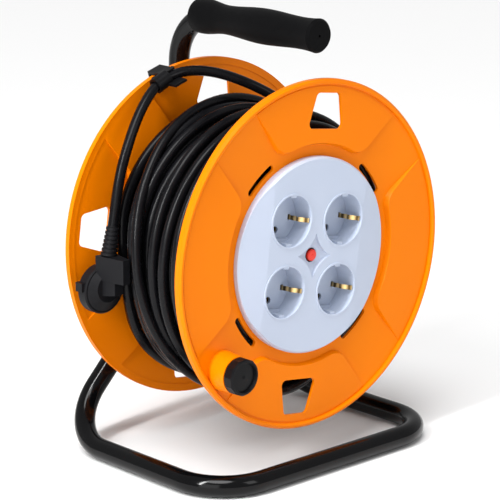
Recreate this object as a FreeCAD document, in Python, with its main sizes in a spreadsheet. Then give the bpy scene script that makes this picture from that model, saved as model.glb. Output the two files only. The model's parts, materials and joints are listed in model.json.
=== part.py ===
import FreeCAD, Part
import math
import os
import re
import Sketcher
from FreeCAD import Placement, Rotation, Vector

# Cord reel on a bent tube stand: drum with four sockets, winding knob, wound lead and plug.
# Row frame: origin on the floor under the middle of the footprint, drum axle along Y, front towards -Y.
# Drum pieces are built about their own axle, local Z, with the front at +Z, and then placed.

SIZES = [
    ("axle_height", 165.25),
    ("drum_mid_y", -2.9),
    ("rest_turn", 7.9),
    ("flange_radius", 135.0),
    ("rim_width", 4.2),
    ("rim_front", 66.9),
    ("rim_depth", 5.9),
    ("sector_front", 64.3),
    ("floor_front_inner", 59.3),
    ("floor_front_outer", 63.9),
    ("plate_wall", 2.4),
    ("sector_inner_radius", 86.5),
    ("sector_gap_half", 25.0),
    ("sector_round", 15.0),
    ("sector_draft", 2.6),
    ("hole_inner", 96.5),
    ("hole_outer", 124.0),
    ("hole_inner_half", 18.4),
    ("hole_outer_half", 12.0),
    ("hole_round", 4.0),
    ("slot_radius", 82.0),
    ("slot_width", 5.4),
    ("slot_half_angle", 8.8),
    ("core_radius", 65.5),
    ("core_wall", 2.5),
    ("core_gap", 0.25),
    ("post_circle", 56.5),
    ("collar_wall", 2.4),
    ("collar_depth", 9.0),
    ("panel_radius", 75.8),
    ("panel_wall", 2.2),
    ("panel_band_half", 48.0),
    ("panel_fall", 3.6),
    ("panel_bevel", 1.8),
    ("well_pitch_half", 27.2),
    ("well_radius", 19.8),
    ("well_depth", 17.5),
    ("well_wall", 1.8),
    ("well_rim", 1.4),
    ("well_rim_rise", 0.5),
    ("pin_pitch", 19.0),
    ("pin_hole_radius", 2.7),
    ("lug_width", 5.4),
    ("lug_rise", 2.2),
    ("star_arc_radius", 28.9),
    ("star_reach", 17.5),
    ("star_depth", 4.0),
    ("button_radius", 4.5),
    ("button_hole_radius", 5.6),
    ("button_top", 65.2),
    ("neck_radius", 5.3),
    ("clip_width", 3.5),
    ("clip_thick", 0.8),
    ("sleeve_radius", 3.4),
    ("sleeve_bore", 2.5),
    ("terminal_pitch", 11.0),
    ("terminal_drop", 43.0),
    ("carrier_radius", 60.0),
    ("carrier_front", 30.0),
    ("carrier_wall", 3.0),
    ("bar_width", 6.0),
    ("bar_thick", 1.0),
    ("bar_link", 37.0),
    ("boss_radius", 15.4),
    ("boss_top_radius", 14.0),
    ("boss_front", 79.0),
    ("knob_circle", 115.9),
    ("knob_angle", 226.6),
    ("knob_radius", 14.1),
    ("knob_length", 8.6),
    ("knob_gap", 0.4),
    ("stud_radius", 3.0),
    ("tube_radius", 8.25),
    ("tube_wall", 1.5),
    ("post_y", 87.3),
    ("leg_top_drop", 27.0),
    ("foot_half", 116.2),
    ("foot_back", 95.2),
    ("foot_front", 87.3),
    ("post_bend", 55.0),
    ("foot_bend", 45.3),
    ("corner_bend", 42.0),
    ("handle_rise", 168.5),
    ("handle_bend", 40.0),
    ("handle_end", 66.0),
    ("tongue_thick", 4.0),
    ("tongue_width", 22.0),
    ("tongue_length", 34.0),
    ("grip_front", 71.0),
    ("grip_back", 62.0),
    ("grip_collar_radius", 13.3),
    ("grip_neck_radius", 11.5),
    ("grip_swell_radius", 13.5),
    ("grip_waist_radius", 12.1),
    ("grip_end_radius", 13.0),
    ("journal_radius", 10.0),
    ("journal_gap", 0.06),
    ("bolt_radius", 5.0),
    ("bush_wall", 4.0),
    ("hub_wall", 4.5),
    ("cord_diameter", 8.0),
    ("coil_radius", 110.5),
    ("coil_drop", 6.5),
    ("coil_rear_radius", 104),
    ("coil_inner_radius", 69.5),
    ("coil_half_width", 55.0),
    ("coil_step", 50),
    ("clip_lean", 3.2),
    ("plug_x", -113.5),
    ("plug_drop", 28.0),
    ("plug_radius", 19.0),
    ("plug_face", 54.5),
    ("plug_disc_depth", 9.5),
    ("plug_depth", 35.5),
    ("plug_grip_half", 8.0),
    ("plug_grip_tip", 3.2),
    ("plug_grip_rise", 19.0),
    ("plug_chin_half", 7.2),
    ("plug_chin_tip", 4.2),
    ("plug_chin_depth", 17.0),
    ("plug_chin_drop", 4.0),
    ("cord_entry_axial", -40.0),
    ("cord_entry_angle", 45.0),
    ("prong_radius", 2.4),
    ("prong_length", 19.0),
]

NAMES = {alias for alias, _ in SIZES}
doc = FreeCAD.newDocument("cord_reel")
sheet = doc.addObject("Spreadsheet::Sheet", "Sizes")
for row, (alias, number) in enumerate(SIZES, start=1):
    sheet.set("A%d" % row, alias)
    sheet.set("B%d" % row, str(number))
    sheet.setAlias("B%d" % row, alias)
doc.recompute()
PARTS = []


def linked(text):
    """An expression in which each name of a size points at its cell."""
    return re.sub(r"[a-z_]+", lambda word: "Sizes." * (word[0] in NAMES) + word[0], str(text))


def size(text):
    """The number that an expression of sizes gives."""
    return float(sheet.evalExpression(linked(text)))


def bind(obj, **texts):
    for prop, text in texts.items():
        obj.setExpression(prop, linked(text))
    return obj


def place_at(obj, at):
    for axis, text in zip("xyz", at):
        obj.setExpression(".Placement.Base." + axis, linked(text))
    return obj


def cylinder(label, radius, height, at=(0, 0, 0)):
    obj = bind(doc.addObject("Part::Cylinder", label), Radius=radius, Height=height)
    return place_at(obj, at)


def cone(label, low_radius, high_radius, height, at=(0, 0, 0)):
    obj = doc.addObject("Part::Cone", label)
    bind(obj, Radius1=low_radius, Radius2=high_radius, Height=height)
    return place_at(obj, at)


def block(label, length, width, height, at=(0, 0, 0)):
    """A box centred on its place in X and Y, standing on it in Z."""
    obj = doc.addObject("Part::Box", label)
    bind(obj, Length=length, Width=width, Height=height)
    corner = ("%s - (%s) / 2" % (at[0], length), "%s - (%s) / 2" % (at[1], width), at[2])
    return place_at(obj, corner)


def turned(obj, angle, axis=Vector(0, 0, 1), centre=Vector(0, 0, 0)):
    """Turn an object about an axis through a centre, after the sheet has placed it."""
    doc.recompute()
    for part in "xyz":
        obj.setExpression(".Placement.Base." + part, None)
    obj.Placement = Placement(Vector(), Rotation(axis, angle), centre).multiply(obj.Placement)
    return obj


def fuse(label, pieces):
    obj = doc.addObject("Part::MultiFuse", label)
    obj.Shapes = pieces
    return obj


def cut(label, base, tools):
    obj = doc.addObject("Part::Cut", label)
    obj.Base = base
    obj.Tool = tools[0] if len(tools) == 1 else fuse(label + "_tools", tools)
    return obj


def common(label, first, second):
    obj = doc.addObject("Part::Common", label)
    obj.Base = first
    obj.Tool = second
    return obj


def tube(label, outer, inner, height, at=(0, 0, 0)):
    shell = cylinder(label + "_outer", outer, height, at)
    bore = cylinder(label + "_bore", inner, "%s + 2" % height, (at[0], at[1], "%s - 1" % at[2]))
    return cut(label, shell, [bore])


def feature(label, shape):
    obj = doc.addObject("Part::Feature", label)
    obj.Shape = shape
    return obj


def group(label, pieces):
    """Separate solids of one kind, kept together in one node."""
    obj = doc.addObject("Part::Compound", label)
    obj.Links = pieces
    return obj


def finish(obj, name, where):
    """Name a finished sub-part and put it in the row frame."""
    obj.Label = name
    obj.Placement = where.multiply(obj.Placement)
    PARTS.append(obj)
    return obj


def revolved(label, outline):
    """A body turned about Z from an outline of (radius, height) pairs."""
    body = doc.addObject("PartDesign::Body", label)
    plane = next(f for f in body.Origin.OriginFeatures if f.Role == "XZ_Plane")
    sketch = body.newObject("Sketcher::SketchObject", label + "_outline")
    sketch.AttachmentSupport = (plane, [""])
    sketch.MapMode = "FlatFace"
    points = [Vector(size(radius), size(height), 0) for radius, height in outline]
    count = len(points)
    for index in range(count):
        sketch.addGeometry(Part.LineSegment(points[index], points[(index + 1) % count]), False)
    for index in range(count):
        hold_start(sketch, index, outline[index])
        after = (index + 1) % count
        sketch.addConstraint(Sketcher.Constraint("Coincident", index, 2, after, 1))
    spin = body.newObject("PartDesign::Revolution", label + "_turn")
    spin.Profile = sketch
    spin.ReferenceAxis = (sketch, ["V_Axis"])
    spin.Angle = 360.0
    return body


def hold_start(sketch, index, pair):
    """Hold the start of a line at its radius and height, bound to the sheet."""
    for kind, axis, text in (("DistanceX", -2, pair[0]), ("DistanceY", -1, pair[1])):
        if abs(size(text)) < 1e-9:
            sketch.addConstraint(Sketcher.Constraint("PointOnObject", index, 1, axis))
            continue
        row = sketch.addConstraint(Sketcher.Constraint(kind, index, 1, size(text)))
        sketch.setExpression("Constraints[%d]" % row, linked(text))


def round_path(points, radii):
    """Straight runs joined by tangent arcs; radii are for the inner points."""
    edges = []
    start = points[0]
    for before, point, after, radius in zip(points, points[1:], points[2:], radii):
        back = (before - point).normalize()
        ahead = (after - point).normalize()
        half = back.getAngle(ahead) / 2
        reach = radius / math.tan(half)
        middle = (back + ahead).normalize()
        top = point + middle * (radius / math.sin(half) - radius)
        enter = point + back * reach
        leave = point + ahead * reach
        if (enter - start).Length > 1e-6:
            edges.append(Part.LineSegment(start, enter).toShape())
        edges.append(Part.Arc(enter, top, leave).toShape())
        start = leave
    edges.append(Part.LineSegment(start, points[-1]).toShape())
    return Part.Wire(edges)


def swept(path, radius):
    """A round solid along a path that starts with a straight run."""
    first = path.Edges[0]
    origin = first.valueAt(first.FirstParameter)
    ring = Part.makeCircle(radius, origin, first.tangentAt(first.FirstParameter))
    return path.makePipeShell([Part.Wire([ring])], True, False)


AXLE = Vector(0, size("drum_mid_y"), size("axle_height"))
STAND = Placement(AXLE, Rotation())
FACING = Placement(AXLE, Rotation(Vector(1, 0, 0), 90))
DRUM = FACING.multiply(Placement(Vector(), Rotation(Vector(0, 0, 1), -size("rest_turn"))))
QUARTERS = (0, 90, 180, 270)
WELLS = [(-1, 1), (1, 1), (-1, -1), (1, -1)]


# ---- flanges, core and bearing bush ----

def sector_wire(height, spread):
    """Outline of one raised sector about +Y, with round inner corners and sides along the diagonals."""
    inner = size("sector_inner_radius") - spread
    offset = size("sector_gap_half") - spread
    bend = size("sector_round")
    outer = size("flange_radius - rim_width - 1.5")
    along = math.sqrt((inner + bend) ** 2 - (offset + bend) ** 2)
    reach = math.sqrt(outer ** 2 - offset ** 2)

    def corner(along_diagonal, across):
        x = (along_diagonal - across) * math.sqrt(0.5)
        y = (along_diagonal + across) * math.sqrt(0.5)
        return x, y

    centre = corner(along, offset + bend)
    side = corner(along, offset)
    tip = corner(reach, offset)
    touch = [c * inner / (inner + bend) for c in centre]
    low = (side[0] + touch[0] - 2 * centre[0], side[1] + touch[1] - 2 * centre[1])
    scale = bend / math.hypot(*low)
    dip = (centre[0] + low[0] * scale, centre[1] + low[1] * scale)

    def at(point, sign):
        return Vector(sign * point[0], point[1], height)

    edges = [
        Part.Arc(at(tip, 1), Vector(0, outer, height), at(tip, -1)),
        Part.LineSegment(at(tip, -1), at(side, -1)),
        Part.Arc(at(side, -1), at(dip, -1), at(touch, -1)),
        Part.Arc(at(touch, -1), Vector(0, inner, height), at(touch, 1)),
        Part.Arc(at(touch, 1), at(dip, 1), at(side, 1)),
        Part.LineSegment(at(side, 1), at(tip, 1)),
    ]
    return Part.Wire([edge.toShape() for edge in edges])


def sector_solid(label, low, high, low_spread, high_spread):
    """Four raised sectors with drafted walls, one to each quarter."""
    wires = [sector_wire(size(low), low_spread), sector_wire(size(high), high_spread)]
    one = Part.makeLoft(wires, True, True)
    turns = []
    for angle in QUARTERS:
        copy = one.copy()
        copy.rotate(Vector(), Vector(0, 0, 1), angle)
        turns.append(copy)
    return feature(label, Part.makeCompound(turns))


def hand_hole(label, angle):
    """Rounded trapezoid through a sector, wider towards the axle."""
    low, high = size("hole_inner"), size("hole_outer")
    wide, narrow = size("hole_inner_half"), size("hole_outer_half")
    corners = [Vector(0, low, 0), Vector(wide, low, 0), Vector(narrow, high, 0),
               Vector(-narrow, high, 0), Vector(-wide, low, 0), Vector(0, low, 0)]
    wire = round_path(corners, [size("hole_round")] * 4)
    prism = Part.Face(wire).extrude(Vector(0, 0, size("rim_front * 2")))
    prism.rotate(Vector(), Vector(0, 0, 1), angle)
    return feature(label, prism)


def vent_slot(label, angle):
    """Curved slot beside the panel, with round ends."""
    mid, half = size("slot_radius"), size("slot_width / 2")
    spread = math.radians(size("slot_half_angle"))
    inner, outer = mid - half, mid + half

    def polar(radius, turn):
        return Vector(radius * math.cos(turn), radius * math.sin(turn), 0)

    def beyond(turn, sign):
        return polar(mid, turn) + Vector(-math.sin(turn), math.cos(turn), 0) * half * sign

    edges = [
        Part.Arc(polar(inner, -spread), polar(inner, 0), polar(inner, spread)),
        Part.Arc(polar(inner, spread), beyond(spread, 1), polar(outer, spread)),
        Part.Arc(polar(outer, spread), polar(outer, 0), polar(outer, -spread)),
        Part.Arc(polar(outer, -spread), beyond(-spread, -1), polar(inner, -spread)),
    ]
    wire = Part.Wire([edge.toShape() for edge in edges])
    prism = Part.Face(wire).extrude(Vector(0, 0, size("rim_front * 2")))
    prism.rotate(Vector(), Vector(0, 0, 1), angle)
    return feature(label, prism)


def flange_shell(label, inner_radius):
    """Moulded disc with a rim bead, a coned floor and four raised sectors."""
    rim_in = "flange_radius - rim_width"
    disc = revolved(label + "_disc", [
        (inner_radius, "floor_front_inner - plate_wall"),
        ("panel_radius + 1", "floor_front_inner - plate_wall"),
        (rim_in, "floor_front_outer - plate_wall"),
        ("flange_radius", "rim_front - rim_depth"),
        ("flange_radius", "rim_front - 1.6"),
        ("flange_radius - 1.4", "rim_front"),
        (rim_in + " + 1.2", "rim_front"),
        (rim_in, "rim_front - 1.2"),
        (rim_in, "sector_front"),
        (inner_radius, "sector_front"),
    ])
    floor = revolved(label + "_floor", [
        (inner_radius + " - 2", "floor_front_inner"),
        ("panel_radius + 1", "floor_front_inner"),
        (rim_in, "floor_front_outer"),
        (rim_in, "sector_front + 0.5"),
        (inner_radius + " - 2", "sector_front + 0.5"),
    ])
    draft = size("sector_draft")
    wall = size("plate_wall * 0.8")
    sectors = sector_solid(label + "_sectors", "floor_front_inner - 1", "sector_front + 1", draft, 0)
    backs = sector_solid(label + "_backs", "rim_front - 14", "sector_front - plate_wall",
                         draft - wall, -wall)
    recess = cut(label + "_recess", floor, [sectors])
    return cut(label + "_shell", disc, [recess, backs])


def front_flange():
    shell = flange_shell("front", "core_radius + core_gap")
    collar = tube("front_collar", "core_radius + core_gap + collar_wall", "core_radius + core_gap",
                  "collar_depth", (0, 0, "floor_front_inner - collar_depth"))
    turn = math.radians(size("knob_angle"))
    along = ("knob_circle * %f" % math.cos(turn), "knob_circle * %f" % math.sin(turn))
    boss = cone("knob_boss", "boss_radius", "boss_top_radius", "boss_front - floor_front_outer + 2",
                (along[0], along[1], "floor_front_outer - 2"))
    bore = cylinder("boss_bore", "stud_radius + 0.05", "boss_front * 2", (along[0], along[1], 0))
    hollow = cylinder("boss_hollow", "boss_top_radius - 3", "boss_front - floor_front_inner",
                      (along[0], along[1], "floor_front_inner - 4"))
    body = fuse("front_body", [shell, collar, boss])
    holes = [hand_hole("front_hole_%d" % angle, angle) for angle in (0, 180)]
    slots = [vent_slot("front_slot_%d" % angle, angle) for angle in (45, 135, 225, 315)]
    obj = cut("front_flange_cut", body, holes + slots + [bore, hollow])
    return finish(obj, "front_flange", DRUM)


def screw_row(label, circle, radius, low, height, first):
    """Four cylinders on a circle about the axle."""
    rows = []
    for index, angle in enumerate(QUARTERS):
        turn = math.radians(angle + first)
        at = ("(%s) * %f" % (circle, math.cos(turn)), "(%s) * %f" % (circle, math.sin(turn)), low)
        rows.append(cylinder("%s_%d" % (label, index), radius, height, at))
    return rows


REAR = DRUM.multiply(Placement(Vector(), Rotation(Vector(0, 1, 0), 180)))


def rear_flange():
    """The rear disc is the same moulding turned round, closed at the middle by a web and a bearing boss."""
    shell = flange_shell("rear", "core_radius + core_gap")
    collar = tube("rear_collar", "core_radius + core_gap + collar_wall", "core_radius + core_gap",
                  "collar_depth", (0, 0, "floor_front_inner - collar_depth"))
    hub = "journal_radius + bush_wall"
    web = tube("rear_web", "core_radius + 3", hub, "plate_wall + 0.6",
               (0, 0, "floor_front_inner - plate_wall"))
    boss = tube("rear_boss", hub + " + hub_wall", hub, 34, (0, 0, 36))
    ribs = []
    for index in range(6):
        rib = block("rear_rib_%d" % index, 26, 2.2, 16,
                    ("journal_radius + bush_wall + hub_wall + 12.5", 0, "floor_front_inner - 18"))
        ribs.append(turned(rib, 60 * index - 15))
    body = fuse("rear_body", [shell, collar, web, boss] + ribs)
    holes = [hand_hole("rear_hole_%d" % angle, angle) for angle in QUARTERS]
    parking = [cylinder("park_%d" % sign, 3.6, 30, park_hole(sign)) for sign in (-1, 1)]
    screws = screw_row("rear_screw_hole", "post_circle", "2.1", "floor_front_inner - 6", 9, 0)
    obj = cut("rear_flange_cut", body, holes + parking + screws)
    return finish(obj, "rear_flange", REAR)


def drum_angle(x, height):
    """A point of the row's X-Z plane, counted from the axle, in the drum's own turned axes."""
    turn = math.radians(size("rest_turn"))
    return (x * math.cos(turn) - height * math.sin(turn), x * math.sin(turn) + height * math.cos(turn))


def park_hole(sign):
    """Place of a plug prong in the rear flange's own axes."""
    x, height = drum_angle(size("plug_x") + sign * size("pin_pitch") / 2, -size("plug_drop"))
    return -x, height, 50


def drum_core():
    low = "plate_wall + 0.1 - floor_front_inner"
    wall = tube("core_wall_tube", "core_radius", "core_radius - core_wall",
                "floor_front_inner * 2 - plate_wall - 0.6", (0, 0, low))
    posts = screw_row("core_post", "post_circle", "4.2", low, "floor_front_inner * 2 - 10", 0)
    webs = []
    for index, angle in enumerate(QUARTERS):
        web = block("core_web_%d" % index, 8, 2, "floor_front_inner * 2 - 10", ("core_radius - 5", 0, low))
        webs.append(turned(web, angle))
    body = fuse("core_body", [wall] + posts + webs)
    pilots = screw_row("core_pilot", "post_circle", "1.9", "0 - floor_front_inner", 140, 0)
    entry = cylinder("cord_entry", "cord_diameter / 2 + 0.6", "core_radius + 4", (0, 0, 0))
    entry = turned(entry, 90, Vector(0, 1, 0))
    spin = Rotation(Vector(0, 0, 1), size("cord_entry_angle"))
    entry.Placement = Placement(Vector(0, 0, size("cord_entry_axial")), spin).multiply(entry.Placement)
    obj = cut("drum_core_cut", body, pilots + [entry])
    return finish(obj, "drum_core", DRUM)


def hub_bush():
    sleeve = tube("bush_sleeve", "journal_radius + bush_wall - 0.02", "journal_radius + journal_gap",
                  35, (0, 0, -71))
    lip = tube("bush_lip", "journal_radius + bush_wall + 3", "journal_radius + journal_gap", 1.8,
               (0, 0, -71.9))
    return finish(fuse("hub_bush_body", [sleeve, lip]), "hub_bush", DRUM)


# ---- socket panel and what is behind it ----

def wells(label, radius, height, low):
    pieces = []
    for index, (side, level) in enumerate(WELLS):
        at = ("%d * well_pitch_half" % side, "%d * well_pitch_half" % level, low)
        pieces.append(cylinder("%s_%d" % (label, index), radius, height, at))
    return pieces


def in_wells(label, make):
    """One copy of a small piece for each well, made at the well's centre."""
    pieces = []
    for index, (side, level) in enumerate(WELLS):
        at = ("%d * well_pitch_half" % side, "%d * well_pitch_half" % level)
        pieces.extend(make("%s_%d" % (label, index), at))
    return pieces


def panel_block(label, radius, front):
    """Disc with a flat upright band; its left and right sides fall away a little."""
    disc = revolved(label + "_disc", [
        (0, "floor_front_inner"),
        (radius, "floor_front_inner"),
        (radius, "%s - panel_bevel" % front),
        ("%s - panel_bevel * 0.8" % radius, front),
        (0, front),
    ])
    far = size("panel_radius") + 10
    band = size("panel_band_half")
    drop = size("panel_fall") * (far - band) / (size("panel_radius") - band)
    face = size(front)
    corners = [(-far, 0), (far, 0), (far, face - drop), (band, face), (-band, face), (-far, face - drop)]
    wire = Part.makePolygon([Vector(x, -far, z) for x, z in corners + corners[:1]])
    prism = feature(label + "_band", Part.Face(wire).extrude(Vector(0, 2 * far, 0)))
    return common(label + "_block", disc, prism)


def star_recess():
    """Shallow cone inside a four-pointed star whose arcs run round the wells."""
    star = cut("star", cylinder("star_disc", "star_reach", 12, (0, 0, "rim_front - 8")),
               wells("star_arc", "star_arc_radius", 16, "rim_front - 10"))
    dip = cone("star_dip", "button_hole_radius + 2", "star_reach + 1.5", "star_depth + 0.3",
               (0, 0, "rim_front - star_depth"))
    return common("star_recess", star, dip)


def socket_panel():
    outer = panel_block("panel", "panel_radius", "rim_front")
    inner = panel_block("panel_inside", "panel_radius - panel_wall", "rim_front - panel_wall - 3")
    shell = cut("panel_shell", outer, [inner, star_recess()])
    rims = wells("well_ring", "well_radius + well_rim", "well_depth * 0.5",
                 "rim_front + well_rim_rise - well_depth * 0.5")
    cups = wells("well_cup", "well_radius + well_wall", "well_depth + 2 - 1",
                 "rim_front - well_depth - 2")
    body = fuse("panel_body", [shell] + rims + cups)
    bores = wells("well_bore", "well_radius", "well_depth + 4", "rim_front - well_depth")
    emptied = cut("panel_emptied", body, bores)

    def lugs(label, at):
        pieces = []
        for sign in (-1, 1):
            here = (at[0], "%s + %d * (well_radius - lug_rise / 2 + 0.3)" % (at[1], sign),
                    "rim_front - well_depth - 0.5")
            pieces.append(block("%s_lug_%d" % (label, sign), "lug_width", "lug_rise + 0.6",
                                "well_depth - 0.5", here))
        return pieces

    def ledges(label, at):
        ring = cylinder(label + "_disc", "well_radius + 0.3", 4.5,
                        (at[0], at[1], "rim_front - well_depth - 0.5"))
        gap = block(label + "_gap", 50, "well_radius * 1.6", 6,
                    (at[0], at[1], "rim_front - well_depth - 1"))
        return [cut(label + "_ledge", ring, [gap])]

    def prong_holes(label, at):
        pieces = []
        for sign in (-1, 1):
            here = (at[0], "%s + %d * pin_pitch / 2" % (at[1], sign), "rim_front - well_depth - 4")
            pieces.append(cylinder("%s_hole_%d" % (label, sign), "pin_hole_radius", 8, here))
            slot = ("%s + %d * 13.2" % (at[0], sign), at[1], "rim_front - well_depth - 4")
            pieces.append(block("%s_slot_%d" % (label, sign), 2.6, "clip_width + 0.8", 8, slot))
        return pieces

    filled = fuse("panel_filled", [emptied] + in_wells("lugs", lugs) + in_wells("ledge", ledges))
    holes = in_wells("prong", prong_holes)
    button = cylinder("button_hole", "button_hole_radius", 20, (0, 0, "rim_front - 12"))
    posts = screw_row("panel_post", "post_circle", "4.0", "floor_front_inner - 7.2", 11, 0)
    pilots = screw_row("panel_pilot", "post_circle", "1.47", "floor_front_inner - 8", 10, 0)
    whole = fuse("panel_whole", [filled] + posts)
    return finish(cut("socket_panel_cut", whole, holes + [button] + pilots), "socket_panel", DRUM)


def strip(label, line, width, thick):
    """A bent metal strip: a line of (x, z) points given thickness, then width along Y."""
    sides = ([], [])
    for index, point in enumerate(line):
        before = Vector(*line[max(index - 1, 0)])
        after = Vector(*line[min(index + 1, len(line) - 1)])
        along = (after - before).normalize()
        normal = Vector(-along.y, along.x, 0) * thick / 2
        for side, sign in zip(sides, (1, -1)):
            place = Vector(*point) + normal * sign
            side.append(Vector(place.x, -width / 2, place.y))
    outline = sides[0] + sides[1][::-1]
    wire = Part.makePolygon(outline + outline[:1])
    return Part.Face(wire).extrude(Vector(0, width, 0))


def earth_clip(index):
    """Brass strip under one well, with a springy finger up each side to the rim."""
    side, level = WELLS[index]
    floor = size("rim_front - well_depth")
    finger = [(13.2, floor - 3.2), (13.2, floor), (12.6, floor + 3), (14.2, floor + 6.4),
              (13.6, floor + 9.4), (16.2, floor + 12.4), (17.4, floor + 14.4), (18.9, floor + 16.2)]
    line = [(-x, z) for x, z in finger[::-1]] + finger
    shape = strip("clip", line, size("clip_width"), size("clip_thick"))
    shape.translate(Vector(side * size("well_pitch_half"), level * size("well_pitch_half"), 0))
    return finish(feature("earth_clip_shape_%d" % index, shape), "earth_clip_%d" % (index + 1), DRUM)


def pin_sleeves(index):
    """The pair of brass sleeves that take the plug's prongs."""
    side, level = WELLS[index]
    pieces = []
    for sign in (-1, 1):
        at = ("%d * well_pitch_half" % side, "%d * well_pitch_half + %d * pin_pitch / 2" % (level, sign),
              "carrier_front + 0.1")
        pieces.append(tube("sleeve_%d_%d" % (index, sign), "sleeve_radius", "sleeve_bore",
                           "rim_front - well_depth - 2 - carrier_front - 0.3", at))
    return finish(group("sleeves_%d" % index, pieces), "pin_sleeves_%d" % (index + 1), DRUM)


def contact_carrier():
    plate = cylinder("carrier_plate", "carrier_radius", "carrier_wall",
                     (0, 0, "carrier_front - carrier_wall"))
    hole = block("carrier_window", 19, 19, 10, (0, 0, "carrier_front - 6"))
    notches = screw_row("carrier_notch", "post_circle", "5", "carrier_front - 6", 10, 0)
    return finish(cut("carrier_cut", plate, [hole] + notches), "contact_carrier", DRUM)


def bar_frame(label, name, upper, lower, side):
    """Two cross bars joined by an upright beside the wells, on the back of the carrier."""
    low = "carrier_front - carrier_wall - 0.1 - bar_thick"
    link = "%d * bar_link" % side
    span = "well_pitch_half + bar_link + bar_width"
    pieces = [block("%s_row_%d" % (label, index), span, "bar_width", "bar_thick",
                    ("%d * (bar_link - well_pitch_half) / 2" % side, level, low))
              for index, level in enumerate((upper, lower))]
    tall = "(%s) - (%s) + bar_width" % (upper, lower)
    middle = "((%s) + (%s)) / 2" % (upper, lower)
    pieces.append(block(label + "_upright", "bar_width", tall, "bar_thick", (link, middle, low)))
    return finish(fuse(label + "_body", pieces), name, DRUM)


def bus_bars():
    live = "well_pitch_half + pin_pitch / 2"
    neutral = "well_pitch_half - pin_pitch / 2"
    bar_frame("live", "live_bar", live, "0 - (%s)" % neutral, -1)
    bar_frame("neutral", "neutral_bar", neutral, "0 - (%s)" % live, 1)
    low = "rim_front - well_depth - 3.6 - bar_thick"
    rows = [block("earth_row_%d" % sign, "well_pitch_half * 2 - 10", 5, "bar_thick",
                  (0, "%d * well_pitch_half" % sign, low)) for sign in (-1, 1)]
    post = block("earth_post", 5, "well_pitch_half * 2 + 5", "bar_thick", (-13.5, 0, low))
    finish(fuse("earth_body", rows + [post]), "earth_bar", DRUM)


def thermal_cutout():
    case = block("cutout_case", 17, 17, "rim_front - star_depth - 3 - 24", (0, 0, 24))
    neck = cylinder("cutout_neck", "neck_radius", 4, (0, 0, "rim_front - star_depth - 4.2"))
    tags = [block("cutout_tag_%d" % sign, 6.3, 0.8, 9, (0, 5 * sign, 15.5)) for sign in (-1, 1)]
    bore = cylinder("cutout_bore", "button_radius + 0.35", 30, (0, 0, "rim_front - star_depth - 13"))
    body = cut("cutout_body", fuse("cutout_all", [case, neck]), [bore])
    return finish(fuse("cutout_whole", [body] + tags), "thermal_cutout", DRUM)


def reset_button():
    stem = revolved("button_turn", [
        (0, "button_top - 8.5"),
        ("button_radius", "button_top - 8.5"),
        ("button_radius", "button_top - 0.9"),
        ("button_radius - 0.9", "button_top - 0.15"),
        ("1.0", "button_top"),
        ("0.7", "button_top - 0.35"),
        (0, "button_top - 0.35"),
    ])
    return finish(stem, "reset_button", DRUM)


def spring_shape(radius, wire, low, high, turns):
    helix = Part.makeHelix((high - low) / turns, high - low, radius)
    ring = Part.makeCircle(wire, Vector(radius, 0, 0), Vector(0, 1, 0))
    solid = Part.Wire(helix.Edges).makePipeShell([Part.Wire([ring])], True, True)
    solid.translate(Vector(0, 0, low))
    return solid


def button_spring():
    low = size("rim_front - star_depth - 13 + 0.6")
    high = size("button_top - 8.5 - 0.6")
    shape = spring_shape(3.2, 0.35, low, high, 4.0)
    return finish(feature("button_spring_shape", shape), "button_spring", DRUM)


def terminals():
    """Three-way screw block that joins the cord's cores to the bars."""
    low = "carrier_front - carrier_wall - 15"
    base = block("terminal_base", 34, 11, 12, (0, "0 - terminal_drop", low))
    pieces = [base]
    bores = []
    for index in (-1, 0, 1):
        at = ("%d * terminal_pitch" % index, "0 - terminal_drop")
        pieces.append(block("terminal_top_%d" % index, 8, 9, 13.7, (at[0], at[1], low)))
        bores.append(cylinder("terminal_bore_%d" % index, 1.9, 9, (at[0], at[1], low + " - 1")))
    finish(cut("terminal_cut", fuse("terminal_all", pieces), bores), "terminal_block", DRUM)


def entry_place():
    """Axes of the cord's way in through the core wall, along local X."""
    spin = Rotation(Vector(0, 0, 1), size("cord_entry_angle"))
    return DRUM.multiply(Placement(spin.multVec(Vector(0, 0, size("cord_entry_axial"))), spin))


def cord_groove(label, radius):
    groove = turned(cylinder(label, radius, 20), 90, Vector(0, 1, 0))
    groove.Placement = Placement(Vector(34, 0, 0), Rotation()).multiply(groove.Placement)
    return groove


def cable_clamp():
    """Saddle that grips the cord where it comes in through the core, its seat and its two screws."""
    where = entry_place()
    radius = "cord_diameter / 2"
    holes = [cylinder("clamp_hole_%d" % sign, 1.7, 12, (44, 9.5 * sign, 0)) for sign in (-1, 1)]
    saddle = block("clamp_saddle", 12, 26, 5, (44, 0, 1.5))
    finish(cut("clamp_cut", saddle, holes + [cord_groove("clamp_groove", radius)]), "cable_clamp", where)
    screws = []
    for sign in (-1, 1):
        shank = cylinder("clamp_shank_%d" % sign, 1.5, 14, (44, 9.5 * sign, -7.4))
        head = cylinder("clamp_head_%d" % sign, 3.2, 2.2, (44, 9.5 * sign, 6.5))
        screws.append(fuse("clamp_screw_%d" % sign, [shank, head]))
    finish(group("clamp_screw_pair", screws), "clamp_screws", where)
    pilots = [cylinder("seat_pilot_%d" % sign, 1.52, 9, (44, 9.5 * sign, -8)) for sign in (-1, 1)]
    seat = block("clamp_seat_block", 12, 26, 11, (44, 0, -12.2))
    finish(cut("seat_cut", seat, pilots + [cord_groove("seat_trough", radius)]), "clamp_seat", where)


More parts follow.
